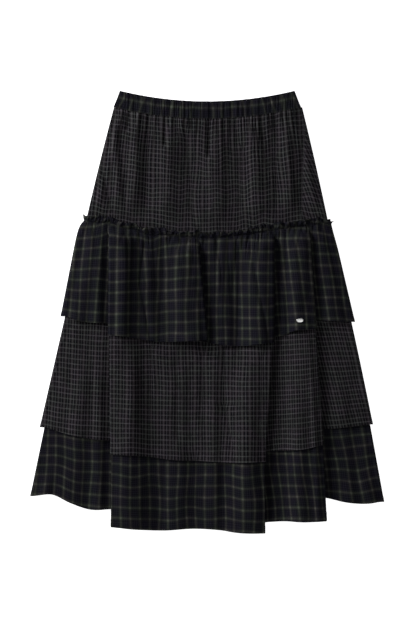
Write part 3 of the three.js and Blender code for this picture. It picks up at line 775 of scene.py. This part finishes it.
makeTier("middleFront", middle, smallCheck,
         "middle_front", "small_check", (0.74, 0.40), "laid", ["middle_back"])

# the bottom tier, sewn on behind the middle tier
bottom = {
    "layer": -1.15, "lowerEdge": 1.3, "creases": drape["creases"], "hemDepth": 12, "hemLift": 0,
    "seam": lambda x: np.full_like(x, seams["bottomSeam"]),
    "folds": middle["folds"], "near": 40.0, "rowsNear": 8, "rowsFar": 70, "length": 214.0, "seed": 15,
    "lean": [(-0.5, 0), (0, 0.1), (0.6, 0.8), (0.8, 0.9)],
    "phase": [12.6, -5.3, -0.4, 15.7], "rowPhase": [7.4, 1.5, 0.9, -8.7],
    "tilt": [(-0.04, -0.1), (0, 0), (0, 0), (0.06, 0.06)],
    "follows": 0.5, "crowd": [1.26, 1.16, 1.4, 1.06], "wander": 3.2, "wavy": 3.2,
    "outline": {"top": -170, "hem": -340, "left": (288, 323, 0, 0), "right": (290, 321, 0, 0)},
    "panels": [
        {"columns": 10, "hem": [-335, -332, -347, -359, -359, -357]},
        {"columns": 28, "hem": [-391, -395, -397.5, -394.5, -395.5, -401, -402]},
        {"columns": 12, "hem": [-388, -382.5, -380.5, -381.5, -380]},
        {"columns": 8, "hem": [-336, -338.5, -346, -349, -345.5]},
    ],
    "ridges": [(-280, -299, 16, 5), (262, 304, 14, 4)], "ridgesStart": -262, "ridgesRun": 90,
    "waves": 1.6, "wavesSeed": 41,
}


def bottomRelief(place, column, y, drop):
    x, window = place["x"], place["window"]
    share = np.clip((bottom["ridgesStart"] - y) / bottom["ridgesRun"], 0, 1)
    own = ridges(bottom["ridges"], x, share, smooth(share))
    own = own + bottom["waves"] * waves(x, y, bottom["wavesSeed"]) * smooth(share * 2)
    return drapeAt(x, y, window) + own * window


bottom["relief"] = bottomRelief
makeTier("bottomFront", bottom, largeCheck,
         "bottom_front", "large_check", (0.82, 0.214), "laid", ["bottom_back"])

# the yoke between waist and hips
upper = {
    "columns": 90, "sideColumns": 3, "rows": 80, "rowPower": 1.25, "waves": 3.8, "wavesSeed": 53,
    "fan": 0.8, "ridgesGrow": 4, "hipsClear": (12, 45),
    "outline": {"top": 371, "hem": 166, "left": (170, 220.5, 1, 0), "right": (173, 219.5, 1, 0)},
    "ridges": [(-186, -204, 16, 2.8), (-172, -157, 14, 4.0), (-128, -134, 21, 4.4), (-68, -72, 34, 5.0),
               (14, 16, 38, 5.0), (88, 92, 28, 4.6), (146, 150, 18, 4.4), (180, 200, 18, 2.8)],
    "creases": [(-106, -113, 368, 150, 7, 0.95), (-38, -24, 330, 150, 9, 1.0), (62, 60, 300, 150, 8, 0.7),
                (124, 127, 366, 160, 7, 1.0), (-200, -169, 300, 165, 5, 1.0), (175, 171, 362, 160, 5, 1.0),
                (-76, -78, 366, 300, 5, 0.9), (4, 2, 352, 280, 5, 0.9), (52, 56, 352, 300, 5, 0.8),
                (-140, -146, 366, 330, 4, 0.8), (98, 102, 360, 310, 4, 0.8)],
    "gathers": {"height": 3.6, "length": 60.0, "uneven": 0.7, "lengths": (14, 50, 51),
                "waves": (5.0, 120, 52)},
}

# how the yoke's check lies, and how it slants past a line at the right, where the cloth turns
upperCheck = {
    "crowd": (1.05, 0.97), "wander": [(2.4, 22, 70, 54)], "tuck": 0.8, "pull": [(3.0, 8, 90, 56)],
    "pullReach": 50, "rows": 1.08, "wavy": [(3.4, 17, 55, 55)], "turnAt": (177, 170), "turnWidth": 1.6,
    "slantFrom": 165, "slant": 0.25, "bend": 0.001, "rise": 0.4, "riseFrom": 171,
}


def upperPlace(column, y):
    count, sides = upper["columns"], upper["sideColumns"]
    reach = lay["sideTurn"]
    left, right = (halfWidth(upper["outline"], side, y) - lay["wall"] / 2 - reach for side in (-1, 1))
    turned = np.maximum(0, np.maximum(sides - column, column - count + sides))
    angle = turned / sides * (math.pi / 2)
    x = mixed(-left, right, np.clip((column - sides) / (count - 2 * sides), 0, 1))
    fade = lay["ridgeFade"]
    window = smooth((x + left) / fade) * smooth((right - x) / fade)
    return x + np.sign(x) * reach * np.sin(angle), angle, window


def layUpper():
    steps = upper["columns"] * lay["columnSteps"]
    column = np.linspace(0, upper["columns"], steps + 1)[None, :]
    top = np.full_like(column, upper["outline"]["top"])
    waist = settled(lambda y: waistSeamAt(upperPlace(column, y)[0]), top)
    hips = settled(lambda y: hipSeamAt(upperPlace(column, y)[0]), top * 0 + upper["outline"]["hem"])
    share = np.linspace(0, 1, int(upper["rows"] * lay["rowSteps"]))[:, None] ** upper["rowPower"]
    y = mixed(waist, hips, share)
    column = np.repeat(column, len(y), axis=0)
    x, angle, window = upperPlace(column, y)
    drop, share = waist - y, (waist - y) / (waist - hips)
    clear, over = upper["hipsClear"]
    nearHips = smooth((y - hips - clear) / over)
    fanned = x * mixed(1, upper["fan"], share)
    narrow = gathered(upper["gathers"], x, fanned, y, drop)
    broad = ridges(upper["ridges"], x, share, smooth(share * upper["ridgesGrow"]))
    broad = broad + upper["waves"] * waves(fanned, y, upper["wavesSeed"])
    relief = creased(narrow + broad, upper["creases"], x, y)
    level = mixed(lay["frontAtWaist"], lay["frontLevel"], smooth(share)) + relief * window * nearHips
    points = np.stack([x, y, lay["sideEnd"] + (level - lay["sideEnd"]) * np.cos(angle)], axis=-1)
    check = upperCheck
    u = x * mixed(*check["crowd"], share) + waved(check["wander"], x, y)
    u = u + check["tuck"] * tucked(upper["creases"], x, y)
    u = u + waved(check["pull"], x, y) * np.exp(-drop / check["pullReach"])
    v = check["rows"] * drop + waved(check["wavy"], x, y)
    turned = smooth((x - mixed(*check["turnAt"], share)) / check["turnWidth"])
    high = np.maximum(0, y - check["slantFrom"])
    u = mixed(u, x + check["slant"] * high + check["bend"] * high ** 2, turned)
    return points, u, v - check["rise"] * turned * (x - check["riseFrom"])


upperFront = shell("upperFront", *layUpper(), lay["wall"], smallCheck)
dress(upperFront, "upper_front", "small_check", (0.47, 0.226), "gathered", ["upper_back"])

# the waistband, puckered by the elastic inside it
band = {
    "count": 30, "columnsEach": 3, "height": 2.6, "rows": 16, "inset": 1.2, "seamGap": 0.3, "moreSteps": 2,
    "backSteps": 60, "frontLevel": 2.9, "backLevel": 0.1, "puckers": (4.4, 60, 61), "atEdges": 0.75,
    "crowd": 1.12, "wander": [(3.4, 8, 30, 62)], "down": (29.5, -2), "wavy": [(1.4, 9, 60, 63)],
    "tall": 31, "stitchAt": 28.5,
}


def layBand(isFront):
    columns = band["count"] * band["columnsEach"]
    steps = columns * (lay["columnSteps"] + band["moreSteps"]) if isFront else band["backSteps"]
    column = np.linspace(0, columns, steps + 1)[None, :]
    share = np.linspace(0, 1, band["rows"])[:, None]
    inset = 0.0 if isFront else band["inset"]
    half = mixed(seams["waistTop"][2], seams["waistSeam"][2], share) - inset
    x = mixed(-half, half, column / columns)
    y = mixed(dipped(seams["waistTop"], x) - inset, waistSeamAt(x) + band["seamGap"], share)
    fanned = x * (seams["waistTop"][2] / (half + inset))
    level = lay["bandWall"] * 0.5 + band["frontLevel" if isFront else "backLevel"]
    fade = smooth(column / band["columnsEach"]) * smooth((columns - column) / band["columnsEach"])
    pucker = puffs(x, y, *band["puckers"]) * mixed(1, band["atEdges"], np.abs(2 * share - 1))
    z = level + (band["height"] * pucker * fade if isFront else 0) + 0 * x
    run, start = band["down"]
    u = fanned * band["crowd"] + waved(band["wander"], fanned, y)
    return np.stack([x, y, z], axis=-1), u, run * share + start + waved(band["wavy"], x, y)


points, u, v = layBand(True)
fromTop = np.repeat(np.linspace(0, band["tall"], len(points))[:, None], points.shape[1], 1)
stitchAlong(points, lay["bandWall"], fromTop, band["stitchAt"])
bandFront = shell("waistbandFront", points, u, v, lay["bandWall"], largeCheck)
dress(bandFront, "waistband_front", "large_check", (0.40, 0.034), "gathered", ["waistband_back"])
bandBack = shell("waistbandBack", *layBand(False), lay["bandWall"], largeCheck)
dress(bandBack, "waistband_back", "large_check", (0.38, 0.034), "laid", [])

# back panels, flat where they rest; stations down a panel are a height and a level
backCut = {
    "steps": 60, "rows": 40, "insets": (1.8, 3.6), "settle": 24.0, "past": 6,
    "wander": [(2.4, 40, 90, 71)], "wavy": [(2.4, 50, 60, 72)],
}


def layBack(outline, stations):
    across = np.linspace(-1, 1, backCut["steps"] + 1)[None, :]
    grids = []
    for height, level in stations:
        y = height(across * (outline["left"][0] + outline["left"][1]) * 0.5)
        inset = backCut["insets"][1 if level > lay["backLow"] else 0]
        x = across * (np.where(across < 0, halfWidth(outline, -1, y), halfWidth(outline, 1, y)) - inset)
        grids.append(np.stack([x, height(x), np.full_like(x, level)], axis=-1)[0])
    place = np.linspace(0, len(stations) - 1, backCut["rows"])
    k = np.minimum(len(stations) - 2, np.floor(place)).astype(int)
    grids = np.array(grids)
    points = mixed(grids[k], grids[k + 1], (place - k)[:, None, None])
    x, y = points[..., 0], points[..., 1]
    return points, x + waved(backCut["wander"], x, y), y[:1] - y + waved(backCut["wavy"], x, y)


def straight(height):
    return lambda x: np.full_like(x, height)


def raised(seam, rise):
    return lambda x: seam(x) + rise


heading, settle, past = ruffle["heading"], backCut["settle"], backCut["past"]
ruffleHem, middleHem = seams["ruffleBackHem"], seams["middleBackHem"]
low, high = lay["backLow"], lay["backHigh"]
backs = [
    ("upperBack", "upper_back", upper["outline"], smallCheck, "small_check", (0.42, 0.236), [
        (raised(waistSeamAt, 0.5), low), (lambda x: hipSeamAt(x) + heading + settle + past, low),
        (raised(hipSeamAt, 16), high), (raised(hipSeamAt, 0.3), high)]),
    ("ruffleBack", "ruffle_back", ruffle["outline"], largeCheck, "large_check", (0.50, 0.16), [
        (raised(hipSeamAt, 4), low), (hipSeamAt, low), (raised(hipSeamAt, -12), low),
        (raised(hipSeamAt, -30), low), (straight(ruffleHem), low)]),
    ("middleBack", "middle_back", middle["outline"], smallCheck, "small_check", (0.60, 0.36), [
        (hipSeamAt, high), (straight(ruffleHem - past), high), (straight(ruffleHem - past - settle), low),
        (straight(middleHem), low)]),
    ("bottomBack", "bottom_back", bottom["outline"], largeCheck, "large_check", (0.62, 0.158), [
        (straight(seams["bottomSeam"]), high), (straight(middleHem - past), high),
        (straight(middleHem - past - settle), low), (straight(seams["bottomBackHem"]), low)]),
]
for name, node, outline, material, slot, flat, stations in backs:
    piece = shell(name, *layBack(outline, stations), lay["wall"], material)
    dress(piece, node, slot, flat, "laid", [])

# small oval plate near the ruffle's hem
plate = {
    "length": 12.0, "height": 7.0, "thickness": 1.0, "power": 2.5, "corners": 64, "rim": 0.35,
    "rimShare": 3.5, "dome": [(0.6, 0.05), (0.3, 0.08)], "crown": 0.09, "gap": 0.35, "towardsTop": 0.2,
}


def makePlate():
    lowCorner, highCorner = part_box("label_plate")
    centre = (Vector(lowCorner) + Vector(highCorner)) / 2
    grid = rufflePoints * mm
    gap = np.hypot(grid[..., 0] - centre.x, grid[..., 1] - centre.y) - plate["towardsTop"] * grid[..., 2]
    r, c = np.unravel_index(np.argmin(gap), gap.shape)
    across = Vector(grid[r, min(c + 2, grid.shape[1] - 1)] - grid[r, c - 2]).normalized()
    down = Vector(grid[r - 1, c] - grid[min(r + 1, len(grid) - 1), c]).normalized()
    out = across.cross(down).normalized()
    side = down.cross(out).normalized()
    turn = Matrix((side, out.cross(side), out)).transposed()
    angles = np.linspace(0, 2 * math.pi, plate["corners"], endpoint=False)
    power = 2 / plate["power"]
    ringX = np.sign(np.cos(angles)) * np.abs(np.cos(angles)) ** power
    ringY = np.sign(np.sin(angles)) * np.abs(np.sin(angles)) ** power
    rim, thick = plate["rim"], plate["thickness"]
    profile = [(1 - rim * 0.5, 0.0), (1, rim * 0.5), (1, thick - rim)]
    profile += [(1 - rim * (1 - math.cos(a)) / plate["rimShare"], thick - rim * (1 - math.sin(a)))
                for a in np.linspace(0.3, math.pi / 2, 5)]
    profile += [(scale, thick + rise) for scale, rise in plate["dome"]]
    vertices, faces = [], []
    for scale, height in profile:
        vertices += [(x * plate["length"] / 2 * scale, y * plate["height"] / 2 * scale, height)
                     for x, y in zip(ringX, ringY)]
    count = plate["corners"]
    for ring in range(len(profile) - 1):
        for i in range(count):
            j, below, above = (i + 1) % count, ring * count, (ring + 1) * count
            faces.append((below + i, below + j, above + j, above + i))
    faces.append(tuple(reversed(range(count))))
    vertices.append((0, 0, thick + plate["crown"]))
    last = (len(profile) - 1) * count
    faces += [(last + i, last + (i + 1) % count, len(vertices) - 1) for i in range(count)]
    seat = Vector(grid[r, c]) + out * ((lay["wall"] / 2 + plate["gap"]) * mm)
    mesh = bpy.data.meshes.new("ovalPlate")
    mesh.from_pydata([tuple(turn @ Vector(v) * mm + seat) for v in vertices], [], faces)
    mesh.shade_smooth()
    mesh.set_sharp_from_angle(angle=math.radians(50))
    mesh.materials.append(plateMetal)
    piece = added("ovalPlate", mesh)
    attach(piece, "root")
    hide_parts("label_plate")
    print("made ovalPlate")


makePlate()


def stitchTree():  # grains of thread set along each path
    tree = bpy.data.node_groups.new("stitches", "GeometryNodeTree")
    kinds = {"Seam": "Geometry", "Pitch": "Float", "Length": "Float", "Thickness": "Float",
             "Thread": "Material"}
    sockets = {name: tree.interface.new_socket(name, in_out="INPUT", socket_type="NodeSocket" + kind)
               for name, kind in kinds.items()}
    tree.interface.new_socket("Stitches", in_out="OUTPUT", socket_type="NodeSocketGeometry")
    nodes = Nodes(tree)
    start = tree.nodes.new("NodeGroupInput")
    given = {name: Wire(nodes, start.outputs[name]) for name in kinds}
    curve = nodes.node("GeometryNodeMeshToCurve", None, {"Mesh": given["Seam"]})
    even = nodes.node("GeometryNodeResampleCurve", {"mode": "LENGTH"},
                      {"Curve": curve, "Length": given["Pitch"]})
    along = nodes.node("GeometryNodeInputTangent")
    turned = nodes.node("FunctionNodeAlignRotationToVector", {"axis": "Z"}, {"Vector": along})
    shortest, longest = stitchForm["lengths"]
    uneven = nodes.node("FunctionNodeRandomValue", {"data_type": "FLOAT"},
                        {2: shortest, 3: longest, "Seed": stitchForm["seed"]}, out=1)
    grain = nodes.node("GeometryNodeMeshUVSphere", None,
                       {"Segments": stitchForm["segments"], "Rings": stitchForm["rings"], "Radius": 0.5})
    size = nodes.node("ShaderNodeCombineXYZ", None,
                      [given["Thickness"], given["Thickness"], given["Length"]])
    shaped = nodes.node("GeometryNodeTransform", None, {"Geometry": grain, "Scale": size})
    placed = nodes.node("GeometryNodeInstanceOnPoints", None,
                        {"Points": even, "Instance": shaped, "Rotation": turned, "Scale": uneven})
    real = nodes.node("GeometryNodeRealizeInstances", None, {"Geometry": placed})
    done = nodes.node("GeometryNodeSetMaterial", None, {"Geometry": real, "Material": given["Thread"]})
    end = tree.nodes.new("NodeGroupOutput")
    tree.links.new(done.socket, end.inputs[0])
    return tree, sockets


def makeStitches():
    vertices, edges = [], []
    for path in seamPaths:
        first = len(vertices)
        vertices += (path * mm).tolist()
        edges += [(first + i, first + i + 1) for i in range(len(path) - 1)]
    mesh = bpy.data.meshes.new("seamLines")
    mesh.from_pydata(vertices, edges, [])
    lines = added("seamLines", mesh)
    tree, sockets = stitchTree()
    change = lines.modifiers.new("stitches", "NODES")
    change.node_group = tree
    for name, size in stitchSizes.items():
        change[sockets[name].identifier] = size * mm
    change[sockets["Thread"].identifier] = thread
    bpy.context.view_layer.update()
    evaluated = lines.evaluated_get(bpy.context.evaluated_depsgraph_get())
    made = bpy.data.meshes.new_from_object(evaluated)
    made.name = "stitches"
    made.shade_smooth()
    bpy.data.objects.remove(lines)
    piece = added("stitches", made)
    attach(piece, "root")
    print("made stitches", len(made.polygons), "faces")


makeStitches()

# camera straight above, floor and soft light; distances, lights and the floor are in metres
studio = {
    "frameHeight": 1133.0, "distance": 5.0, "centre": (1.4, -0.2), "floorGlow": 1.0,
    "key": {"at": (-3.0, 1.7, 1.6), "size": 2.2, "power": 172.0},
    "fill": {"at": (1.0, -0.4, 3.6), "size": 2.4, "power": 17.0},
    "world": 0.1, "sensor": 36, "clipEnd": 50, "focus": 0.01, "floorHalf": 4.0, "floorLevel": -0.0004,
}


def makeStudio():
    scene = bpy.context.scene
    camera = added("camera", bpy.data.cameras.new("camera"))
    camera.location = (studio["centre"][0] * mm, studio["centre"][1] * mm, studio["distance"])
    camera.data.sensor_width = studio["sensor"]
    seen = studio["distance"] - studio["focus"]
    camera.data.lens = studio["sensor"] * seen / (studio["frameHeight"] * mm)
    camera.data.clip_end = studio["clipEnd"]
    scene.camera = camera
    for name in ("key", "fill"):
        light = studio[name]
        lamp = added(name, bpy.data.lights.new(name, "AREA"))
        lamp.data.size, lamp.data.energy = light["size"], light["power"]
        lamp.location = light["at"]
        lamp.rotation_euler = (-Vector(light["at"])).to_track_quat("-Z", "Y").to_euler()
    scene.world = scene.world or bpy.data.worlds.new("studio")
    scene.world.use_nodes = True
    background = scene.world.node_tree.nodes["Background"]
    background.inputs["Color"].default_value = (1, 1, 1, 1)
    background.inputs["Strength"].default_value = studio["world"]
    scene.view_settings.view_transform = "Standard"
    floorMesh = bpy.data.meshes.new("floor")
    half, level = studio["floorHalf"], studio["floorLevel"]
    corners = [(x * half, y * half, level) for x, y in ((-1, -1), (1, -1), (1, 1), (-1, 1))]
    floorMesh.from_pydata(corners, [], [(0, 1, 2, 3)])
    pale = Finish("paleFloor", Base_Color=(0.95, 0.95, 0.95, 1), Roughness=0.9,
                  Emission_Color=(1, 1, 1, 1), Emission_Strength=studio["floorGlow"])
    floorMesh.materials.append(pale.material)
    added("floor", floorMesh)


makeStudio()
